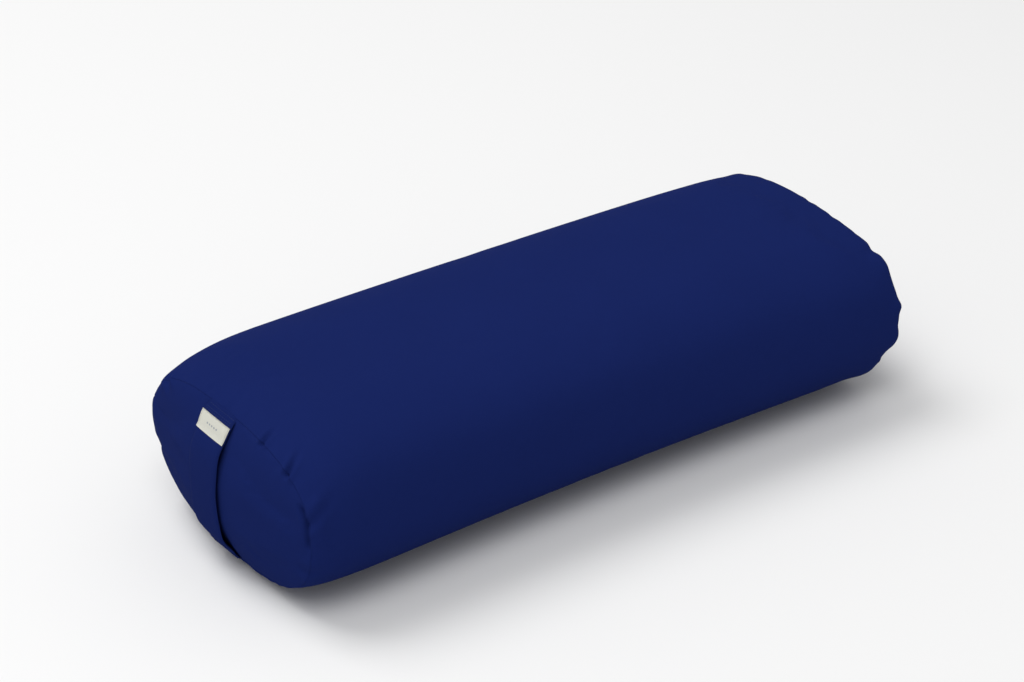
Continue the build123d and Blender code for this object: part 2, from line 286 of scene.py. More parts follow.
# ---------------------------------------------------------------- mesh helpers
def mesh_object(name, points, faces, uvs=None):
    """A smooth-shaded mesh object from points, faces and one UV per point."""
    mesh = bpy.data.meshes.new(name)
    mesh.from_pydata([tuple(p) for p in points], [], faces)
    mesh.update()
    mesh.polygons.foreach_set("use_smooth", [True] * len(mesh.polygons))
    if uvs is not None:
        layer = mesh.uv_layers.new(name="cloth")
        corner = np.empty(len(mesh.loops), np.int32)
        mesh.loops.foreach_get("vertex_index", corner)
        layer.data.foreach_set("uv", np.asarray(uvs, np.float32)[corner].ravel())
    made = bpy.data.objects.new(name, mesh)
    bpy.context.scene.collection.objects.link(made)
    return made


def grid_faces(rows, columns, closed=False, flip=False):
    """Quads over a grid of points, with its last column joined to its first if closed."""
    faces = []
    for i in range(rows - 1):
        for j in range(columns if closed else columns - 1):
            k = (j + 1) % columns
            quad = (i * columns + j, i * columns + k, (i + 1) * columns + k, (i + 1) * columns + j)
            faces.append(quad[::-1] if flip else quad)
    return faces


def cap_faces(rings, columns, flip):
    """Faces of a closed grid of rings that ends in one middle point."""
    faces = grid_faces(rings, columns, closed=True, flip=flip)
    last = (rings - 1) * columns
    for j in range(columns):
        tri = (last + j, last + (j + 1) % columns, rings * columns)
        faces.append(tri[::-1] if flip else tri)
    return faces


def pod_faces(rows, columns):
    """Faces of a closed grid with a middle point at each end, given after the grid's own points."""
    faces = grid_faces(rows, columns, closed=True)
    last, total = (rows - 1) * columns, rows * columns
    for j in range(columns):
        k = (j + 1) % columns
        faces += [(k, j, total), (last + j, last + k, total + 1)]
    return faces


def thicken(obj, thickness):
    """Gives a single layer its real cloth thickness, inwards from its outer face."""
    solid = obj.modifiers.new("cloth_thickness", "SOLIDIFY")
    solid.thickness = thickness
    solid.offset = -1
    solid.use_even_offset = False


# ---------------------------------------------------------------- the cloth simulation
def grid_normals(points, closed):
    """Outward normals of a grid of points (rows by columns)."""
    along = np.gradient(points, axis=0)
    if closed:
        around = (np.roll(points, -1, 1) - np.roll(points, 1, 1)) / 2
    else:
        around = np.gradient(points, axis=1)
    n = np.cross(around, along)
    return n / np.maximum(np.linalg.norm(n, axis=-1, keepdims=True), 1e-12)


def smoothed(field, width, closed):
    """A grid field averaged over about width cells each way."""
    kernel = np.hanning(2 * width + 3)[1:-1]
    kernel /= kernel.sum()
    for axis in (0, 1):
        mode = "wrap" if closed and axis == 1 else "edge"
        pad = [(width, width) if a == axis else (0, 0) for a in range(3)]
        padded = np.pad(field, pad, mode=mode)
        field = np.apply_along_axis(lambda line: np.convolve(line, kernel, "valid"), axis, padded)
    return field


def enlarge(field, rows, columns):
    """A coarse grid field spread over a finer grid by straight lines between its points."""
    def stretch(values, count):
        at = np.linspace(0, len(values) - 1, count)
        low = np.minimum(at.astype(int), len(values) - 2)
        share = (at - low)[:, None, None]
        return values[low] * (1 - share) + values[low + 1] * share
    return stretch(stretch(field, rows).swapaxes(0, 1), columns).swapaxes(0, 1)


def simulated_moves(wrap, near_rings, near_pole, far_rings, far_pole):
    """Inflates a closed copy of the cover with its end seams drawn tight.

    Gives the small quick moves of the wrap and both ends; the slow part of them is taken out.
    """
    rows = wrap[::SIM_STEP]
    grid = np.concatenate([near_rings[1::SIM_STEP][::-1], rows, far_rings[1::SIM_STEP]])[:, ::SIM_STEP]
    ends = near_rings[1::SIM_STEP].shape[0]
    columns = grid.shape[1]
    count = grid.shape[0] * columns
    points = np.concatenate([grid.reshape(-1, 3), near_pole[None], far_pole[None]])
    cloth = mesh_object("cloth_copy", points, pod_faces(grid.shape[0], columns))
    seams = cloth.vertex_groups.new(name="drawn")
    for row in (ends - 1, ends, ends + 1):
        seams.add(list(range(row * columns, (row + 1) * columns)), 1, "REPLACE")
        far = grid.shape[0] - 1 - row
        seams.add(list(range(far * columns, (far + 1) * columns)), 1, "REPLACE")
    made = cloth.modifiers.new("cloth", "CLOTH").settings
    made.quality = 6
    made.mass = 0.25
    made.tension_stiffness = made.compression_stiffness = 25
    made.shear_stiffness = 8
    made.bending_stiffness = 0.6
    made.air_damping = 4
    made.use_pressure = True
    made.uniform_pressure_force = SIM_PRESSURE
    made.vertex_group_shrink = "drawn"
    made.shrink_min = 0
    made.shrink_max = SEAM_SHRINK
    made.effector_weights.gravity = 0
    for f in range(1, SIM_FRAMES + 1):
        bpy.context.scene.frame_set(f)
    settled = cloth.evaluated_get(bpy.context.evaluated_depsgraph_get()).to_mesh()
    now = np.empty(len(points) * 3, np.float32)
    settled.vertices.foreach_get("co", now)
    moves = now.reshape(-1, 3)[:count].astype(float) - grid.reshape(-1, 3)
    bpy.data.objects.remove(cloth)
    bpy.context.scene.frame_set(1)
    length = np.linalg.norm(moves, axis=1, keepdims=True)
    moves *= np.minimum(1, SIM_CAP / np.maximum(length, 1e-9))
    moves = moves.reshape(grid.shape)
    moves -= smoothed(moves, SIM_SMOOTH, True)
    wrap_moves = enlarge(moves[ends:ends + len(rows)], ROWS, COLUMNS)
    near_moves = enlarge(moves[:ends + 1][::-1], RINGS, COLUMNS)
    far_moves = enlarge(moves[-ends - 1:], RINGS, COLUMNS)
    return wrap_moves, near_moves, far_moves


# ---------------------------------------------------------------- creases, gathers and the end seams
def seam_places(rim):
    """How far round the seam each column is, and the seam's whole length."""
    run = run_along(np.vstack([rim, rim[:1]]))
    return run[:-1], run[-1]


def round_distance(place, at, whole):
    return (place - at + whole / 2) % whole - whole / 2


def crease(place, whole, out, at, depth, width, wrap_reach, panel_reach, slant=0.0):
    """A crease pulled in across the seam, with a soft ridge on each side; out is + on the wrap panel."""
    across = round_distance(place, at, whole) - slant * out
    reach = np.where(out > 0, wrap_reach, panel_reach)
    fade = np.exp(-(np.abs(out) / reach) ** 2)
    valley = np.exp(-(across / width) ** 2)
    ridges = np.exp(-((np.abs(across) - 1.9 * width) / width) ** 2)
    return depth * (0.45 * ridges - valley) * fade


def bulge(place, whole, out, at, height, length, reach, middle):
    return height * np.exp(-(round_distance(place, at, whole) / length) ** 2 - ((out - middle) / reach) ** 2)


def along_seam(place, whole, out, start, end, depth, width, offset=0.0):
    """A crease that follows the seam from start to end, offset onto the wrap panel."""
    half = (end - start) % whole / 2
    window = smooth_step((half - np.abs(round_distance(place, start + half, whole))) / (0.45 * half) + 0.2)
    return -depth * window * np.exp(-((out - offset) / width) ** 2)


# Each end's creases: angle round the section (degrees, 90 on top, 180 at the front), then crease()'s sizes
CREASES = {-1: ((110, 0.0034, 0.0023, 0.0110, 0.0035, -0.24), (132, 0.0042, 0.0028, 0.0125, 0.0035, -0.60),
                (90, 0.0008, 0.0055, 0.018, 0.008, 0.0), (168, 0.0026, 0.0045, 0.018, 0.004, -0.45),
                (197, 0.0018, 0.0055, 0.010, 0.010, 0.0), (42, 0.0034, 0.0048, 0.011, 0.010, 0.0),
                (346, 0.0022, 0.0050, 0.012, 0.010, 0.0)),
           1: ((128, 0.0012, 0.0050, 0.014, 0.010, 0.1), (40, 0.0022, 0.0060, 0.016, 0.012, 0.2),
               (8, 0.0026, 0.0048, 0.018, 0.014, -0.25), (336, 0.0024, 0.0055, 0.014, 0.012, 0.15),
               (318, 0.0016, 0.0045, 0.010, 0.010, 0.0))}
# Fuller or flatter places: angle, height, length along the seam, reach either side of its middle, and that middle
BULGES = {-1: ((2, 0.0045, 0.018, 0.022, 0.0),),
          1: ((105, -0.0016, 0.040, 0.030, 0.0), (139, 0.0018, 0.010, 0.012, 0.0),
              (155, -0.0014, 0.012, 0.012, 0.0), (170, 0.0024, 0.006, 0.008, 0.0),
              (187, 0.0020, 0.010, 0.012, 0.0), (203, -0.0045, 0.015, 0.012, 0.0),
              (213, 0.0030, 0.018, 0.014, 0.020))}
# Folds that run along the seam: from and to angles, then along_seam()'s sizes; a negative depth is a ridge
SEAM_FOLDS = {-1: ((153, 182, 0.0052, 0.0028, -0.0032), (150, 184, -0.0018, 0.0070, 0.0090)), 1: ()}


def seam_relief(rim, out, side):
    """Height of the worked cloth over the smooth shape near one end seam."""
    place, whole = seam_places(rim)
    place = place[None] * np.ones_like(out)

    def at(angle):
        return np.interp(np.radians(angle) % (2 * np.pi), *ordered)

    order = np.argsort(angles % (2 * np.pi))
    ordered = (angles[order] % (2 * np.pi), place[0][order])
    relief = -GROOVE_DEPTH[side] * np.exp(-(np.abs(out) / GROOVE_WIDTH) ** 1.5)
    source = np.random.default_rng(23 if side < 0 else 37)
    for start in np.arange(0, whole, GATHER_PITCH):
        relief += crease(place, whole, out, start + source.uniform(0, GATHER_PITCH),
                         source.uniform(*GATHER_DEPTH), source.uniform(0.0035, 0.006),
                         source.uniform(0.008, 0.022), source.uniform(0.006, 0.014), source.uniform(-0.5, 0.5))
    for angle, *shape in CREASES[side]:
        relief += crease(place, whole, out, at(angle), *shape)
    for angle, *shape in BULGES[side]:
        relief += bulge(place, whole, out, at(angle), *shape)
    for start, end, *shape in SEAM_FOLDS[side]:
        relief += along_seam(place, whole, out, at(start), at(end), *shape)
    return relief


def seam_lip(rim, inward):
    """Two rows that carry a panel's edge on into the seam, where it is sewn."""
    return [rim + inward * depth for depth in LIP_ROWS]


# ---------------------------------------------------------------- the cover's pieces
smooth_parts = stuffed_cover()
wrap, near_rings, near_pole, far_rings, far_pole = smooth_parts
wrap_moves, near_moves, far_moves = simulated_moves(*smooth_parts)
local = wrap - zip_centre
clear_of_zip = smooth_step((np.abs(local @ zip_up) - FACING_HALF) / FACING_CLEAR
                           + (local @ zip_out < -FACING_REACH) * 2)
wrap_normals = grid_normals(wrap, False)
near_normals = -grid_normals(near_rings, True)
far_normals = grid_normals(far_rings, True)
rims = {-1: wrap[0], 1: wrap[-1]}
corner = {s: (n + m) / np.linalg.norm(n + m, axis=-1, keepdims=True)
          for s, n, m in ((-1, wrap_normals[0], near_normals[0]), (1, wrap_normals[-1], far_normals[0]))}


def off_seam(out):
    """How much of the simulated cloth's moves is kept: none at an end seam, where the crease relief takes over."""
    return SIM_SHARE * (1 - np.exp(-(out / SIM_CLEAR) ** 2))


def work_end(points, normals, rim, rim_normal, out, side):
    """Adds the seam's relief to one grid; at the seam itself both panels move together."""
    share = np.exp(-(np.abs(out) / CORNER_BLEND) ** 2)[..., None]
    normal = normals * (1 - share) + rim_normal[None] * share
    normal /= np.linalg.norm(normal, axis=-1, keepdims=True)
    return points + normal * seam_relief(rim, out, side)[..., None]


wrap_out = {-1: np.abs(wrap[..., 0] - rims[-1][..., 0]), 1: np.abs(rims[1][..., 0] - wrap[..., 0])}
wrap = work_end(wrap, wrap_normals, rims[-1], corner[-1], wrap_out[-1], -1)
wrap = work_end(wrap, wrap_normals, rims[1], corner[1], wrap_out[1], 1)
wrap = wrap + wrap_moves * (clear_of_zip * off_seam(wrap_out[-1]) * off_seam(wrap_out[1]))[..., None]


def ring_out(rings):
    """How far each point of an end panel is from the seam, as a negative distance."""
    steps = np.linalg.norm(np.diff(rings, axis=0), axis=-1)
    return -np.concatenate([np.zeros((1, COLUMNS)), np.cumsum(steps, 0)])


near_rings = work_end(near_rings, near_normals, rims[-1], corner[-1], ring_out(near_rings), -1)
far_rings = work_end(far_rings, far_normals, rims[1], corner[1], ring_out(far_rings), 1)
fade = (off_seam(ring_out(near_rings)) * smooth_step(np.linspace(3, 0, RINGS))[:, None])[..., None]
near_rings = near_rings + near_moves * fade
far_rings = far_rings + far_moves * fade
near_rings[0] = wrap[0]
far_rings[0] = wrap[-1]
wrap = lay_on_zip_facing(on_floor(wrap))
near_rings, far_rings = on_floor(near_rings), on_floor(far_rings)


def close_long_seam(points):
    """Past the ends of the zip the two long edges of the wrap panel meet in a plain seam."""
    apart = points[:, -1:] - points[:, :1]
    width = np.linalg.norm(apart, axis=-1, keepdims=True)
    closed = smooth_step((np.abs(points[:, :1, :1] - zip_centre[0]) - SLIT_HALF + SLIT_MARGIN) / SEAM_RUN_OUT)
    reach = smooth_step(1 - from_edge / SEAM_REACH) * np.where(arc < arc[-1] / 2, 0.5, -0.5)
    return points + apart * (1 - SEAM_GAP / width) * closed * reach[None, :, None]


def rolled_zip_edges(points):
    """Rolls the wrap panel's two long edges under, and pulls the cloth in along the stitching beside the zip."""
    roll = ROLL_DEPTH * np.exp(-(from_edge / ROLL_WIDTH) ** 2)
    stitched = STITCH_PULL * np.exp(-((from_edge + SLIT_WIDTH / 2 - STITCH_ROW) / STITCH_PULL_WIDTH) ** 2)
    beside_zip = np.abs(points[..., 0] - zip_centre[0]) < SLIT_HALF + SLIT_MARGIN
    return points - (roll + stitched * beside_zip)[..., None] * zip_out


wrap = rolled_zip_edges(close_long_seam(wrap))
for rings, rim in ((near_rings, wrap[0]), (far_rings, wrap[-1])):  # the end panels follow the wrap's edge
    rings += (rim - rings[0]) * smooth_step(1 + ring_out(rings) / SEAM_REACH)[..., None]

near_lip = seam_lip(wrap[0], -corner[-1])
far_lip = seam_lip(wrap[-1], -corner[1])
GAP = np.array([SEAM_CLEAR, 0, 0])
wrap_cloth = np.concatenate([[r + GAP for r in near_lip[::-1]], wrap, [r - GAP for r in far_lip]])
wrap_uv = np.stack(np.broadcast_arrays(
    np.concatenate([[row_share[0] * LENGTH / 2 - d for d in LIP_ROWS[::-1]], row_share * LENGTH / 2,
                    [row_share[-1] * LENGTH / 2 + d for d in LIP_ROWS]])[:, None], arc[None]), -1)

cover_wrap = mesh_object("cover_wrap", wrap_cloth.reshape(-1, 3),
                         grid_faces(len(wrap_cloth), COLUMNS), wrap_uv.reshape(-1, 2))
thicken(cover_wrap, CLOTH)
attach(cover_wrap, "root")
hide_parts("cover_body")


def end_panel(name, rings, pole, lip, side, node):
    rings = np.concatenate([[r + side * GAP for r in lip[::-1]], rings])
    points = np.concatenate([rings.reshape(-1, 3), pole[None]])
    panel = mesh_object(name, points, cap_faces(len(rings), COLUMNS, side < 0), points[:, 1:])
    thicken(panel, CLOTH)
    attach(panel, "root")
    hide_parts(node)


end_panel("end_panel_near", near_rings, near_pole, near_lip, -1, "handle_end_panel")
end_panel("end_panel_far", far_rings, far_pole, far_lip, 1, "plain_end_panel")


# ---------------------------------------------------------------- small swept pieces
def tube_mesh(paths, radius):
    """Points and faces of round tubes along several paths, drawn in at their ends."""
    points, faces = [], []
    sides = THREAD_SIDES
    turn = np.linspace(0, 2 * np.pi, sides, endpoint=False)
    for path in paths:
        ahead = np.gradient(path, axis=0)
        ahead /= np.maximum(np.linalg.norm(ahead, axis=1, keepdims=True), 1e-12)
        side = np.cross(ahead, [0.31, 0.17, 0.94])
        side /= np.maximum(np.linalg.norm(side, axis=1, keepdims=True), 1e-12)
        over = np.cross(ahead, side)
        size = np.full(len(path), radius)
        size[[0, -1]] *= THREAD_TIP
        ring = side[:, None] * np.cos(turn)[None, :, None] + over[:, None] * np.sin(turn)[None, :, None]
        first = len(points)
        points += list((path[:, None] + ring * size[:, None, None]).reshape(-1, 3))
        last = first + (len(path) - 1) * sides
        for a in range(first, last, sides):
            b = a + sides
            faces += [(a + j, a + (j + 1) % sides, b + (j + 1) % sides, b + j) for j in range(sides)]
        faces += [tuple(first + j for j in reversed(range(sides))), tuple(last + j for j in range(sides))]
    return points, faces


def stitch_run(path, outward, pitch=STITCH_PITCH, length=STITCH_LENGTH, dip=0.0004):
    """Short thread paths along a line of stitching, each dipping into the cloth at its ends."""
    run = run_along(path)
    share = np.linspace(0, 1, 6)
    bow = np.sin(np.pi * share) ** 0.5
    made = []
    for start in np.arange(0, run[-1] - length, pitch):
        at = start + length * share
        made.append(at_places(at, run, path) + at_places(at, run, outward) * (bow * dip * 1.5 - dip)[:, None])
    return made


def thread_object(name, paths, node, radius=THREAD_RADIUS):
    points, faces = tube_mesh(paths, radius)
    made = mesh_object(name, points, faces)
    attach(made, "root")
    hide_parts(node)


# ---------------------------------------------------------------- strap handle and its label
# How far the strap's outer face stands off the end seam's plane, against height, down the handle end
STRAP_STAND_OFF = ((-0.0030, 0.1520), (0.0005, 0.1520), (0.0036, 0.1455), (0.0158, 0.1304), (0.0225, 0.1150),
                   (0.0253, 0.0930), (0.0257, 0.0750), (0.0246, 0.0570), (0.0206, 0.0385), (0.0112, 0.0240),
                   (0.0036, 0.0165), (0.0000, 0.0118), (-0.0040, 0.0106))


def smooth_line(points, count):
    """A smooth curve through points in a plane, evenly spaced along its length."""
    points = np.asarray(points, float)
    ends = np.vstack([2 * points[0] - points[1], points, 2 * points[-1] - points[-2]])
    line = []
    for a, b, c, d in zip(ends, ends[1:], ends[2:], ends[3:]):
        for t in np.linspace(0, 1, 24, endpoint=False):
            line.append(0.5 * (2 * b + (c - a) * t + (2 * a - 5 * b + 4 * c - d) * t * t
                               + (3 * b - a - 3 * c + d) * t**3))
    line = np.array(line + [points[-1]])
    run = run_along(line)
    return at_places(np.linspace(0, run[-1], count), run, line), run[-1]


SEAM_X = rims[-1][0, 0]
strap_line, strap_length = smooth_line(STRAP_STAND_OFF, STRAP_STATIONS)
strap_middle = (strap_low[1] + strap_high[1]) / 2
strap_share = np.linspace(0, 1, STRAP_STATIONS)
strap_along = np.gradient(strap_line, axis=0)
strap_along /= np.linalg.norm(strap_along, axis=1, keepdims=True)
strap_normal = np.stack([-strap_along[:, 1], strap_along[:, 0]], 1)  # away from the end panel

panel_tree = BVHTree.FromPolygons([Vector(q) for q in near_rings.reshape(-1, 3)],
                                  grid_faces(RINGS, COLUMNS, closed=True))


def panel_stand_off(y, z):
    """How far the end panel stands off the seam's plane at one place, or None outside it."""
    hit = panel_tree.ray_cast(Vector((-1, y, z)), Vector((1, 0, 0)))[0]
    return None if hit is None else SEAM_X - hit.x


def strap_point(i, across, inward, width=STRAP_WIDTH):
    """A point of the strap: i its station, across from -1 to 1, inward from its outer face."""
    wave = STRAP_WAVE * np.sin(strap_share[i] * 19 + 1.3 * across) * smooth_step((strap_share[i] - 0.55) / 0.3)
    bow = STRAP_BOW * (1 - across**2) * smooth_step(strap_share[i] * 8) * smooth_step((1 - strap_share[i]) * 8)
    off, z = strap_line[i] + strap_normal[i] * (bow + wave - inward)
    y = strap_middle + across * width / 2 + STRAP_EDGE_WAVE * across * np.sin(strap_share[i] * 23)
    return np.array([SEAM_X - off, y, z])


def band(name, stations, thickness, width, lift=0.0, round_edge=STRAP_ROUND, across_count=15):
    """A flat closed band with rounded edges, laid on the strap's line."""
    profile = [(a, 0.0) for a in np.linspace(-1, 1, across_count)]
    profile += [(1.0, thickness)] + [(a, thickness) for a in np.linspace(1, -1, across_count)[1:-1]]
    profile += [(-1.0, thickness)]
    size = len(profile)
    points, uvs = [], []
    for i in stations:
        for a, deep in profile:
            edge = min(1.0, (1 - abs(a)) * width / 2 / round_edge)
            sunk = (1 - math.sqrt(max(0.0, 1 - (1 - edge) ** 2))) * thickness * 0.42
            inward = deep + sunk if deep == 0 else deep - sunk
            points.append(strap_point(i, a, inward - lift, width))
            uvs.append((a * width / 2 + width / 2, strap_share[i] * strap_length))
    faces = grid_faces(len(stations), size, closed=True)
    last = (len(stations) - 1) * size
    faces += [tuple(range(size)), tuple(last + j for j in reversed(range(size)))]
    made = mesh_object(name, points, faces, uvs)
    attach(made, "root")
    return made


for i in range(STRAP_STATIONS):  # lifts the strap clear of the end panel where it is too close
    found = [panel_stand_off(strap_point(i, a, 0)[1], strap_line[i][1]) for a in (-0.95, -0.5, 0, 0.5, 0.95)]
    found = [f for f in found if f is not None]
    if found and STRAP_END_SHARE < strap_share[i] < 1 - STRAP_END_SHARE:
        needed = max(found) + (STRAP_THICK + STRAP_CLEAR) / max(STRAP_MIN_SLOPE, abs(strap_along[i][1]))
        strap_line[i][0] = max(strap_line[i][0], needed)

strap_handle = band("strap_handle", range(STRAP_STATIONS), STRAP_THICK, STRAP_WIDTH)
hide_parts("handle_strap")

label_stations = [i for i in range(STRAP_STATIONS) if LABEL_BOTTOM <= strap_line[i][1] <= LABEL_TOP]
label = band("label", label_stations, LABEL_THICK, LABEL_WIDTH, lift=LABEL_THICK + 0.00005, round_edge=0.0004)
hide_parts("woven_label")


def strap_row(a, stations, lift):
    return np.array([strap_point(i, a, -lift) for i in stations])


def facing_out(stations):
    return np.array([(-strap_normal[i][0], 0, strap_normal[i][1]) for i in stations])


LABEL_STRIPE = strap_length * float(np.mean([strap_share[i] for i in label_stations]))
label_edge = 1 - LABEL_STITCH_INSET / (LABEL_WIDTH / 2)
runs = []
for a in (-label_edge, label_edge):
    inner = label_stations[1:-1]
    runs += stitch_run(strap_row(a, inner, LABEL_THICK + 0.0001), facing_out(inner), 0.0022, 0.0016, 0.0002)
thread_object("label_thread", runs, "label_stitches", 0.00013)

tack_runs = []
for rows in ((3, 4, 5), (STRAP_STATIONS - 6, STRAP_STATIONS - 5, STRAP_STATIONS - 4)):
    for i in rows:
        line = np.array([strap_point(i, a, 0) for a in np.linspace(-0.9, 0.9, 30)])
        tack_runs.append(stitch_run(line, np.repeat(facing_out([i]), 30, 0), 0.0030, 0.0022, 0.0003))
thread_object("tack_top", sum(tack_runs[:3], []), "handle_top_tack_stitches")
thread_object("tack_bottom", sum(tack_runs[3:], []), "handle_bottom_tack_stitches")

# ---------------------------------------------------------------- thread in the end seams and beside the zip
for name, rim, side, node in (("seam_thread_near", wrap[0], -1, "handle_end_seam_thread"),
                              ("seam_thread_far", wrap[-1], 1, "plain_end_seam_thread")):
    outward = np.vstack([corner[side], corner[side][:1]])
    ring = np.vstack([rim, rim[:1]]) - outward * SEAM_THREAD_DEPTH
    thread_object(name, stitch_run(ring, outward), node)


def stitch_row(columns):
    """The line of the stitches beside the zip, on the wrap with its columns counted from one long edge."""
    column = np.interp(STITCH_ROW - SLIT_WIDTH / 2, EDGE_COLUMNS, np.arange(len(EDGE_COLUMNS)))
    low = int(column)
    share = column - low
    line = columns[:, low] * (1 - share) + columns[:, low + 1] * share
    return line[np.abs(line[:, 0] - zip_centre[0]) < SLIT_HALF + SLIT_MARGIN]


for name, columns, node in (("zip_stitches_upper", wrap, "zip_stitching_upper"),
                            ("zip_stitches_lower", wrap[:, ::-1], "zip_stitching_lower")):
    line = stitch_row(columns)
    thread_object(name, stitch_run(line, np.repeat(zip_out[None], len(line), 0), dip=0.0002), node)

# ---------------------------------------------------------------- zip coils
for name, sign, node in (("coil_upper", 1, "zip_coil_upper"), ("coil_lower", -1, "zip_coil_lower")):
    low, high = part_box(node)
    turns = round((high[0] - low[0] - COIL_PITCH) / COIL_PITCH)
    a = np.linspace(0, turns * 2 * np.pi, turns * 10 + 1)
    run_x = low[0] + COIL_WIRE + a / (2 * np.pi) * COIL_PITCH + (COIL_PITCH / 2 if sign < 0 else 0)
    flat = np.sign(np.cos(a)) * np.abs(np.cos(a)) ** 0.7
    v = sign * (COIL_MIDDLE + COIL_REACH * flat)
    n = COIL_DEPTH + COIL_RISE * np.sin(a)
    path = zip_centre + np.outer(v, zip_up) + np.outer(n, zip_out)
    path[:, 0] = run_x
    thread_object(name, [path], node, COIL_WIRE)

# ---------------------------------------------------------------- the liner bag and its filling
def inset_parts(depth, end_back, rows, columns, rings):
    """A smooth closed shape inside the cover, as body rows and the two ends' rings and poles."""
    pick_r = np.linspace(0, ROWS - 1, rows).astype(int)
    pick_c = np.linspace(0, COLUMNS, columns, endpoint=False).astype(int)
    base = body_points(row_share[:, None] * np.ones((1, COLUMNS)), angles[None] * np.ones((ROWS, 1)))
    base = lay_on_zip_facing(on_floor(base))
    inner = base - grid_normals(base, False) * depth
    scale = (LENGTH / 2 - end_back) / (LENGTH / 2)
    inner[..., 0] = MIDDLE_X + (base[..., 0] - MIDDLE_X) * scale
    inner = inner[pick_r][:, pick_c]
    ends = []
    for side, rim in ((-1, inner[0]), (1, inner[-1])):
        share = ring_shares(rings)
        middle = (rim.min(0) + rim.max(0)) / 2
        out = side * (CROWN - LINER_CROWN_DROP) * (1 - share ** CROWN_POWER)
        ring = middle + (rim - middle)[None] * share[:, None, None]
        ring[..., 0] = rim[0, 0] + out[:, None]
        ends.append((ring, np.array([rim[0, 0] + out[-1], middle[1], middle[2]])))
    return inner, ends


def soft_piece(name, points, faces, node, uvs=None):
    made = mesh_object(name, points, faces, uvs)
    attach(made, "root")
    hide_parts(node)
    return made


body, ends = inset_parts(LINER_INSET, LINER_END_BACK, LINER_ROWS, LINER_COLUMNS, LINER_RINGS)
liner_body = soft_piece("liner_tube", body.reshape(-1, 3), grid_faces(*body.shape[:2], closed=True),
                        "liner_body", body.reshape(-1, 3)[:, [0, 2]])
thicken(liner_body, LINER_CLOTH)
for name, (rings, pole), side, node in (("liner_cap_near", ends[0], -1, "liner_handle_end"),
                                        ("liner_cap_far", ends[1], 1, "liner_plain_end")):
    rings = rings + np.array([side * LINER_CAP_GAP, 0, 0])
    points = np.concatenate([rings.reshape(-1, 3), pole[None]])
    cap = soft_piece(name, points, cap_faces(len(rings), rings.shape[1], side < 0), node,
                     points[:, 1:])
    thicken(cap, LINER_CLOTH)

closing_low, closing_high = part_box("liner_closing_stitches")
section = body[len(body) // 2]
under = body[:, np.argmin(np.where(section[:, 2] > HEIGHT / 2, np.inf, np.abs(section[:, 1])))]
under = under[(under[:, 0] > closing_low[0]) & (under[:, 0] < closing_high[0])]
thread_object("liner_thread", stitch_run(under, np.repeat([[0, 0, -1.0]], len(under), 0), 0.006, 0.004, 0.0006),
              "liner_closing_stitches", 0.0003)

core, core_ends = inset_parts(LINER_INSET + LINER_CLOTH + FILLING_CLEAR, LINER_END_BACK + FILLING_END_CLEAR,
                              LINER_ROWS, LINER_COLUMNS, LINER_RINGS)
parts = np.concatenate([core_ends[0][0][1:][::-1], core, core_ends[1][0][1:]])
wrinkle = np.random.default_rng(5)
lumps = sum(np.sin(parts @ wrinkle.normal(0, 90, 3) + wrinkle.uniform(0, 6))
            for _ in range(FILLING_LUMPS)) / FILLING_LUMPS
parts = parts - grid_normals(parts, True) * (0.0012 + 0.0009 * lumps)[..., None]
points = np.concatenate([parts.reshape(-1, 3), core_ends[0][1][None] + [0.002, 0, 0],
                         core_ends[1][1][None] - [0.002, 0, 0]])
soft_piece("filling_fibre", points, pod_faces(*parts.shape[:2]), "filling")

# ---------------------------------------------------------------- materials
def put(tree, kind, inputs=(), **fields):
    """Adds a node; inputs may be values or other nodes' output sockets."""
    made = tree.nodes.new("ShaderNode" + kind)
    for key, value in fields.items():
        setattr(made, key, value)
    for key, value in dict(inputs).items():
        if isinstance(value, bpy.types.NodeSocket):
            tree.links.new(value, made.inputs[key])
        else:
            made.inputs[key].default_value = value
    return made


def sums(tree, operation, a, b=0.0, c=0.0):
    inputs = {0: a, 1: b} if operation not in ("MULTIPLY_ADD", "COMPARE") else {0: a, 1: b, 2: c}
    return put(tree, "Math", inputs, operation=operation).outputs[0]


def new_material(name, rough, specular, sheen=0.0, metal=0.0):
    made = bpy.data.materials.new(name)
    made.use_nodes = True
    shader = made.node_tree.nodes["Principled BSDF"]
    shader.inputs["Roughness"].default_value = rough
    shader.inputs["Specular IOR Level"].default_value = specular
    shader.inputs["Metallic"].default_value = metal
    shader.inputs["Sheen Weight"].default_value = sheen
    shader.inputs["Sheen Roughness"].default_value = 0.5
    return made, made.node_tree, shader


def noise(tree, at, scale, detail=2.0):
    return put(tree, "TexNoise", {"Vector": at, "Scale": scale, "Detail": detail}).outputs["Fac"]


def tinted(tree, shader, colour, shade):
    """Sets the base colour to one colour, made lighter or darker by a shade that varies about 1."""
    scaled = put(tree, "VectorMath", {0: colour, "Scale": shade}, operation="SCALE").outputs[0]
    tree.links.new(scaled, shader.inputs["Base Color"])
    return scaled


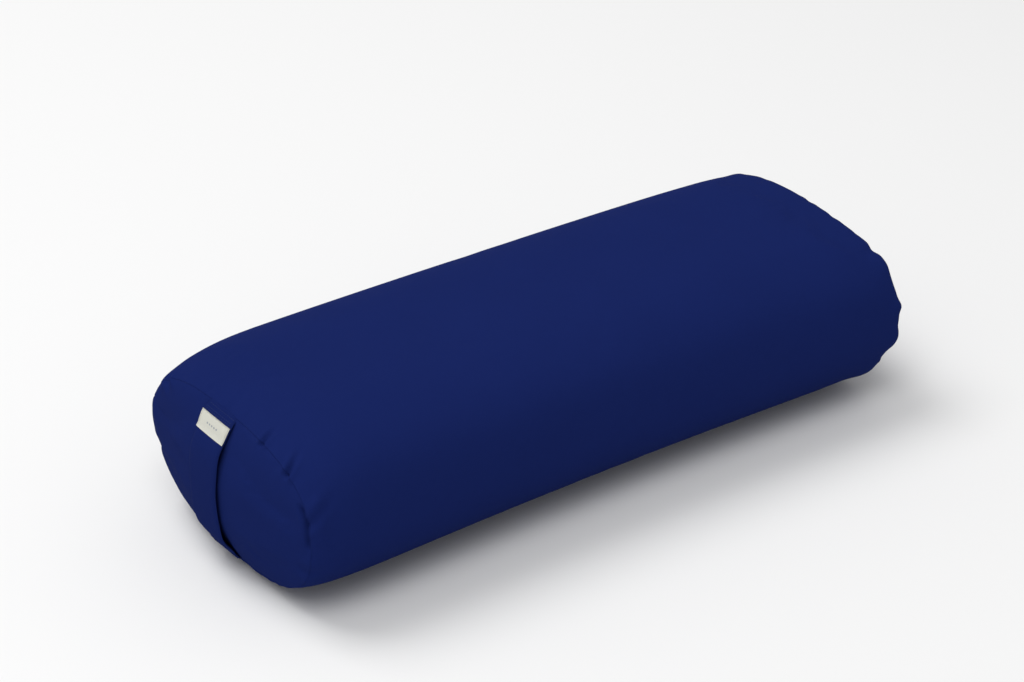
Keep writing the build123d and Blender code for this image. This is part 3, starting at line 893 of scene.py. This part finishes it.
def woven(name, colour, pitch, coordinates="UV", contrast=0.10, cloudy=0.10, slub=0.10, depth=0.00008,
          rough=0.95, specular=0.015, sheen=0.0):
    """A plain-weave cloth with slubby yarn; coordinates are in metres, from UVs or the object's own space."""
    made, tree, shader = new_material(name, rough, specular, sheen)
    at = put(tree, "TexCoord").outputs[coordinates]
    axes = put(tree, "SeparateXYZ", {0: at})
    first, second = (0, 1) if coordinates == "UV" else (0, 2)
    warp = sums(tree, "SINE", sums(tree, "MULTIPLY", axes.outputs[first], 2 * math.pi / pitch))
    weft = sums(tree, "SINE", sums(tree, "MULTIPLY", axes.outputs[second], 2 * math.pi / pitch))
    weave = sums(tree, "MULTIPLY", warp, weft)
    yarn_a = put(tree, "Mapping", {"Vector": at, "Scale": (90, 1400, 1400)}).outputs[0]
    yarn_b = put(tree, "Mapping", {"Vector": at, "Scale": (1400, 90, 90)}).outputs[0]
    yarn = sums(tree, "ADD", noise(tree, yarn_a, 1.0), noise(tree, yarn_b, 1.0))
    height = sums(tree, "MULTIPLY_ADD", yarn, 0.9, weave)
    shade = sums(tree, "MULTIPLY_ADD", weave, contrast / 2, 1 - cloudy / 2 - slub)
    shade = sums(tree, "MULTIPLY_ADD", yarn, slub, shade)
    shade = sums(tree, "MULTIPLY_ADD", noise(tree, at, 14.0, 4.0), cloudy, shade)
    scaled = tinted(tree, shader, colour, shade)
    bump = put(tree, "Bump", {"Height": height, "Distance": depth, "Strength": 0.6})
    tree.links.new(bump.outputs[0], shader.inputs["Normal"])
    return made, tree, at, scaled


def thread_material(name, colour, rough=0.8, specular=0.15):
    made, tree, shader = new_material(name, rough, specular, 0.05)
    at = put(tree, "TexCoord").outputs["Object"]
    twist = put(tree, "TexWave", {"Vector": at, "Scale": 900.0, "Distortion": 2.0}, bands_direction="DIAGONAL")
    shade = sums(tree, "MULTIPLY_ADD", twist.outputs["Fac"], 0.25, 0.87)
    tinted(tree, shader, colour, shade)
    bump = put(tree, "Bump", {"Height": twist.outputs["Fac"], "Distance": 0.00004, "Strength": 0.5})
    tree.links.new(bump.outputs[0], shader.inputs["Normal"])
    return made


def metal_material(name, colour):
    """Brushed, slightly worn nickel."""
    made, tree, shader = new_material(name, 0.3, 0.5, metal=1.0)
    at = put(tree, "TexCoord").outputs["Object"]
    brushed = put(tree, "Mapping", {"Vector": at, "Scale": (120, 3500, 3500)}).outputs[0]
    lines, wear = noise(tree, brushed, 1.0, 3.0), noise(tree, at, 400.0, 4.0)
    tinted(tree, shader, colour, sums(tree, "MULTIPLY_ADD", wear, 0.3, 0.8))
    rough = sums(tree, "MULTIPLY_ADD", lines, 0.18, sums(tree, "MULTIPLY_ADD", wear, 0.15, 0.16))
    tree.links.new(rough, shader.inputs["Roughness"])
    bump = put(tree, "Bump", {"Height": lines, "Distance": 0.00002, "Strength": 0.3})
    tree.links.new(bump.outputs[0], shader.inputs["Normal"])
    return made


def label_material(name, colour, ink):
    """Cream woven label with a short row of plain lozenges."""
    made, tree, at, scaled = woven(name, colour, 0.0005, contrast=0.08, cloudy=0.05, slub=0.06, rough=0.8,
                                   specular=0.1)
    across, along = (put(tree, "SeparateXYZ", {0: at}).outputs[k] for k in (0, 1))
    off = sums(tree, "SUBTRACT", along, LABEL_STRIPE)
    middle = sums(tree, "SUBTRACT", across, LABEL_WIDTH / 2 + LOZENGE * 8)
    lozenge = sums(tree, "ADD", sums(tree, "ABSOLUTE", off), sums(tree, "PINGPONG", middle, LOZENGE))
    solid = sums(tree, "LESS_THAN", lozenge, LOZENGE * 0.7)
    inside = sums(tree, "COMPARE", across, LABEL_WIDTH / 2, LOZENGE * 5)
    mark = sums(tree, "MULTIPLY", solid, inside)
    faded = sums(tree, "MULTIPLY", mark, sums(tree, "MULTIPLY_ADD", noise(tree, at, 1500.0), 0.2, 0.6))
    mixed = put(tree, "Mix", {"Factor": faded, "A": scaled, "B": (*ink, 1)}, data_type="RGBA")
    tree.links.new(mixed.outputs["Result"], tree.nodes["Principled BSDF"].inputs["Base Color"])
    return made


def fibre_material(name, colour):
    made, tree, shader = new_material(name, 1.0, 0.05, 0.2)
    at = put(tree, "TexCoord").outputs["Object"]
    tuft = put(tree, "TexVoronoi", {"Vector": at, "Scale": 60.0}).outputs["Distance"]
    strands = noise(tree, put(tree, "Mapping", {"Vector": at, "Scale": (150, 900, 600)}).outputs[0], 1.0, 4.0)
    tinted(tree, shader, colour, sums(tree, "MULTIPLY_ADD", strands, 0.2, 0.85))
    height = sums(tree, "MULTIPLY_ADD", strands, 0.4, tuft)
    bump = put(tree, "Bump", {"Height": height, "Distance": 0.002, "Strength": 0.7})
    tree.links.new(bump.outputs[0], shader.inputs["Normal"])
    return made


NAVY = (0.0078, 0.01629, 0.09945)
NAVY_THREAD = (0.009, 0.020, 0.105)
cotton = woven("cotton_navy", NAVY, 0.0007)[0]
webbing = woven("cotton_strap", tuple(c * 0.95 for c in NAVY), 0.0007, slub=0.12)[0]
calico = woven("calico", (0.62, 0.57, 0.47), 0.0006, contrast=0.14)[0]
tape = woven("zip_tape_cloth", (0.008, 0.017, 0.080), 0.0005, "Object", contrast=0.2, rough=0.8)[0]
navy_thread = thread_material("thread_navy", NAVY_THREAD)
cream_thread = thread_material("thread_cream", (0.66, 0.64, 0.56))
calico_thread = thread_material("thread_calico", (0.60, 0.55, 0.45))
coil_nylon = thread_material("coil_nylon", (0.010, 0.018, 0.070), 0.4, 0.4)
nickel = metal_material("nickel", (0.60, 0.59, 0.56))
fibre = fibre_material("fibre", (0.80, 0.79, 0.75))
cream = label_material("label_cream", (0.602, 0.602, 0.539), (0.16, 0.19, 0.26))

FINISHES = {
    cotton: ("cover_wrap", "end_panel_near", "end_panel_far"), webbing: ("strap_handle",), cream: ("label",),
    navy_thread: ("tack_top", "tack_bottom", "seam_thread_near", "seam_thread_far", "zip_stitches_upper",
                  "zip_stitches_lower"),
    cream_thread: ("label_thread",), calico_thread: ("liner_thread",), coil_nylon: ("coil_upper", "coil_lower"),
    calico: ("liner_tube", "liner_cap_near", "liner_cap_far"), fibre: ("filling_fibre",),
    tape: ("zip_tape_upper", "zip_tape_lower"),
    nickel: ("zip_top_stops", "zip_bottom_stop", "zip_slider", "zip_pull"),
}
for node in frame["nodes"].values():
    node.data.materials.clear()
for material, names in FINISHES.items():
    for name in names:
        bpy.data.objects[name].data.materials.append(material)
METAL_BEVEL = 0.00018
for name in ("zip_slider", "zip_pull", "zip_top_stops", "zip_bottom_stop"):
    bevel = bpy.data.objects[name].modifiers.new("softened_edges", "BEVEL")
    bevel.width = METAL_BEVEL
    bevel.segments = 2
    bevel.limit_method = "ANGLE"
for node in frame["nodes"].values():  # hidden nodes keep a finish too
    if not node.data.materials:
        node.data.materials.append(cotton)


# ---------------------------------------------------------------- floor, light and camera
FLOOR_ALBEDO = 0.82
SKY = 0.5
LIGHTS = (  # name, place, size, power
    ("key", (-1.7, 2.7, 5.8), 3.5, 205.0),
    ("fill", (-2.3, -2.1, 5.2), 3.7, 135.0),
)
floor = mesh_object("floor", [(-6, -6, 0), (6, -6, 0), (6, 6, 0), (-6, 6, 0)], [(0, 1, 2, 3)])
paper, _, shader = new_material("floor_paper", 0.9, 0.1)
shader.inputs["Base Color"].default_value = (FLOOR_ALBEDO, FLOOR_ALBEDO, FLOOR_ALBEDO, 1)
floor.data.materials.append(paper)

world = bpy.data.worlds.new("studio")
bpy.context.scene.world = world
world.use_nodes = True
world.node_tree.nodes["Background"].inputs[0].default_value = (1, 1, 1, 1)
world.node_tree.nodes["Background"].inputs[1].default_value = SKY

for name, place, size, power in LIGHTS:
    data = bpy.data.lights.new(name, "AREA")
    data.size = size
    data.energy = power
    lamp = bpy.data.objects.new(name, data)
    lamp.location = place
    lamp.rotation_euler = (Vector((0, 0, 0.1)) - Vector(place)).to_track_quat("-Z", "Y").to_euler()
    bpy.context.scene.collection.objects.link(lamp)

CAMERA_AZIMUTH = math.radians(-36.11)
CAMERA_ELEVATION = math.radians(28.99)
CAMERA_DISTANCE = 2.3347
CAMERA_LENS = 89.29
AIM_RIGHT = -0.0179
AIM_UP = 0.02135
back = Vector((math.sin(CAMERA_AZIMUTH) * math.cos(CAMERA_ELEVATION),
               -math.cos(CAMERA_AZIMUTH) * math.cos(CAMERA_ELEVATION),
               math.sin(CAMERA_ELEVATION)))
right = Vector((math.cos(CAMERA_AZIMUTH), math.sin(CAMERA_AZIMUTH), 0))
up = back.cross(right)
centre = Vector((MIDDLE_X, 0, HEIGHT / 2))
camera_data = bpy.data.cameras.new("camera")
camera_data.lens = CAMERA_LENS
camera_data.sensor_width = 36
camera = bpy.data.objects.new("camera", camera_data)
camera.location = centre + right * AIM_RIGHT + up * AIM_UP + back * CAMERA_DISTANCE
camera.rotation_euler = (-back).to_track_quat("-Z", "Y").to_euler()
bpy.context.scene.collection.objects.link(camera)
bpy.context.scene.camera = camera
bpy.context.scene.view_settings.view_transform = "Standard"
